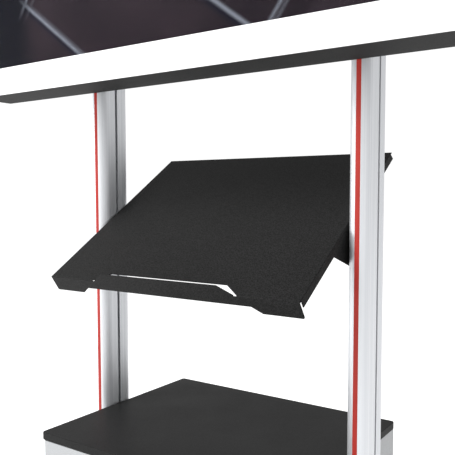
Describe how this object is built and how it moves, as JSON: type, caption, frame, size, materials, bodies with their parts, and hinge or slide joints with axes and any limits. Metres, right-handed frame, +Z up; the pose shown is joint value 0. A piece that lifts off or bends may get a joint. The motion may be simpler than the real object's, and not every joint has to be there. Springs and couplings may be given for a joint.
{
  "type": "computer desk with keyboard tray",
  "caption": "Free-standing two-column display workstation with a height-adjustable tilting keyboard tray, a low cabinet with a hinged door, and levelling feet.",
  "frame": {"origin": "on the floor, midway between the columns and midway along the foot runners", "axes": "+Z up, user stands on the -Y side facing +Y, +X to the user's right"},
  "size_m": [1.27, 0.708, 1.9915],
  "materials": {
    "anodised_aluminium": "satin anodised",
    "red_insert": "satin",
    "dark_powder_coat": "fine texture",
    "tray_powder_coat": "fine texture powder coat",
    "black_plastic": "matt",
    "foot_plastic": "matt",
    "zinc_steel": "zinc plated",
    "dark_laminate": "satin laminate on board",
    "grey_laminate": "satin laminate on board",
    "satin_metal": "satin nickel",
    "white_frame": "smooth white",
    "screen_glass": "polished",
    "picture": "dark picture",
    "display_housing": "fine texture",
    "electronics_case": "plain"
  },
  "bodies": {
    "frame": {"left_foot_runner": "dark_powder_coat", "right_foot_runner": "dark_powder_coat", "left_base_plate": "dark_powder_coat", "right_base_plate": "dark_powder_coat", "left_front_end_cap": "black_plastic", "right_front_end_cap": "black_plastic", "left_rear_end_cap": "black_plastic", "right_rear_end_cap": "black_plastic", "base_plate_screws": "zinc_steel", "column_foot_screws": "zinc_steel", "cross_tube": "dark_powder_coat", "left_column": "anodised_aluminium", "right_column": "anodised_aluminium", "left_front_insert": "red_insert", "right_front_insert": "red_insert", "left_rear_insert": "red_insert", "right_rear_insert": "red_insert", "left_column_cap": "black_plastic", "right_column_cap": "black_plastic", "slot_bolts": "zinc_steel", "slot_nuts": "zinc_steel", "cabinet_top": "dark_laminate", "cabinet_right_side": "grey_laminate", "cabinet_left_side": "grey_laminate", "cabinet_floor": "grey_laminate", "cabinet_back": "grey_laminate", "cabinet_shelf": "grey_laminate", "shelf_pegs": "zinc_steel", "cabinet_spacers": "black_plastic", "cabinet_bolts": "zinc_steel", "hinge_plate": "dark_powder_coat", "display_frame": "white_frame", "screen_glass": "screen_glass", "lcd_panel": "picture", "display_housing": "display_housing", "display_controller": "electronics_case", "display_power_supply": "electronics_case", "connector_panel": "electronics_case", "connector_sockets": "satin_metal", "power_inlet": "black_plastic", "left_lower_display_bracket": "dark_powder_coat", "right_lower_display_bracket": "dark_powder_coat", "left_upper_display_bracket": "dark_powder_coat", "right_upper_display_bracket": "dark_powder_coat", "display_screws": "zinc_steel"},
    "door": {"cabinet_door": "grey_laminate", "door_hinge_pins": "zinc_steel", "door_knob": "satin_metal"},
    "lock": {"door_lock": "satin_metal"},
    "tray_carriage": {"left_guide_plate": "dark_powder_coat", "right_guide_plate": "dark_powder_coat", "left_pivot_bolt": "zinc_steel", "right_pivot_bolt": "zinc_steel", "tray_slot_nuts": "zinc_steel", "pivot_washers": "black_plastic"},
    "tray": {"tray_panel": "tray_powder_coat"},
    "left_front_foot": {"left_front_levelling_foot": "foot_plastic"},
    "left_rear_foot": {"left_rear_levelling_foot": "foot_plastic"},
    "right_front_foot": {"right_front_levelling_foot": "foot_plastic"},
    "right_rear_foot": {"right_rear_levelling_foot": "foot_plastic"}
  },
  "joints": [
    {"name": "door_hinge", "type": "hinge", "parent": "frame", "child": "door", "pos_m": [-0.29, -0.2275, 0.31], "axis": [0, 0, -1], "range_deg": [0, 110]},
    {"name": "lock_turn", "type": "hinge", "parent": "door", "child": "lock", "pos_m": [0.265, -0.2275, 0.33], "axis": [0, 1, 0], "range_deg": [0, 90]},
    {"name": "tray_height", "type": "slide", "parent": "frame", "child": "tray_carriage", "axis": [0, 0, 1], "range_m": [-0.15, 0.15]},
    {"name": "tray_tilt", "type": "hinge", "parent": "tray_carriage", "child": "tray", "pos_m": [0, 0, 0.87357], "axis": [1, 0, 0], "range_deg": [-33.37, 12]},
    {"name": "left_front_foot_turn", "type": "hinge", "parent": "frame", "child": "left_front_foot", "pos_m": [-0.3284, -0.31, 0.022], "axis": [0, 0, 1], "range_deg": [0, 360]},
    {"name": "left_rear_foot_turn", "type": "hinge", "parent": "frame", "child": "left_rear_foot", "pos_m": [-0.3284, 0.31, 0.022], "axis": [0, 0, 1], "range_deg": [0, 360]},
    {"name": "right_front_foot_turn", "type": "hinge", "parent": "frame", "child": "right_front_foot", "pos_m": [0.3284, -0.31, 0.022], "axis": [0, 0, 1], "range_deg": [0, 360]},
    {"name": "right_rear_foot_turn", "type": "hinge", "parent": "frame", "child": "right_rear_foot", "pos_m": [0.3284, 0.31, 0.022], "axis": [0, 0, 1], "range_deg": [0, 360]}
  ]
}
